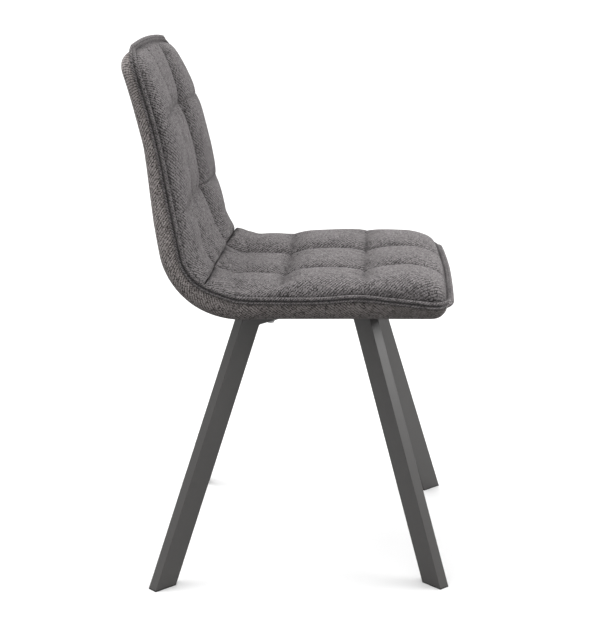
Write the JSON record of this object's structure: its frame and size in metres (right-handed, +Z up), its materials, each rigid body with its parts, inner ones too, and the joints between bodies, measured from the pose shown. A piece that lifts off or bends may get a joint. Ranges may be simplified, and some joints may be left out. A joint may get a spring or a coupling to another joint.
{
  "type": "dining chair",
  "caption": "Armless upholstered dining chair: quilted one-piece seat and back with a standing welt, on splayed legs of rectangular steel tube.",
  "frame": {"origin": "on the floor, under the middle of the overall box", "axes": "+Z up; the chair faces -Y; +X is the sitter's left"},
  "size_m": [0.557, 0.53, 0.877],
  "materials": {
    "frame_paint": "matt powder coat, anthracite",
    "glide_plastic": "moulded black",
    "quilted_fabric": "coarse woven, flecked grey, quilted in squares",
    "outer_fabric": "coarse woven, flecked grey",
    "welt_fabric": "coarse woven, folded and top-stitched",
    "dust_sheet": "black non-woven",
    "foam": "cut polyurethane foam",
    "plywood": "bare moulded plywood",
    "spacer_rubber": "matt",
    "zinc_steel": "zinc plated"
  },
  "bodies": {
    "root": {"back_foam": "foam", "back_quilted_cover": "quilted_fabric", "back_wrap_foam": "foam", "bolt_washers": "zinc_steel", "centre_plate": "frame_paint", "dust_cover": "dust_sheet", "foot_glide_front_left": "glide_plastic", "foot_glide_front_right": "glide_plastic", "foot_glide_rear_left": "glide_plastic", "foot_glide_rear_right": "glide_plastic", "hem_staples": "zinc_steel", "leg_front_left": "frame_paint", "leg_front_right": "frame_paint", "leg_rear_left": "frame_paint", "leg_rear_right": "frame_paint", "outer_cover": "outer_fabric", "plywood_shell": "plywood", "seat_bolts": "zinc_steel", "seat_edge_foam": "foam", "seat_foam": "foam", "seat_quilted_cover": "quilted_fabric", "seat_spacers": "spacer_rubber", "tee_nuts": "zinc_steel", "welt_front": "welt_fabric", "welt_left": "welt_fabric", "welt_right": "welt_fabric", "welt_top": "welt_fabric"}
  },
  "joints": []
}
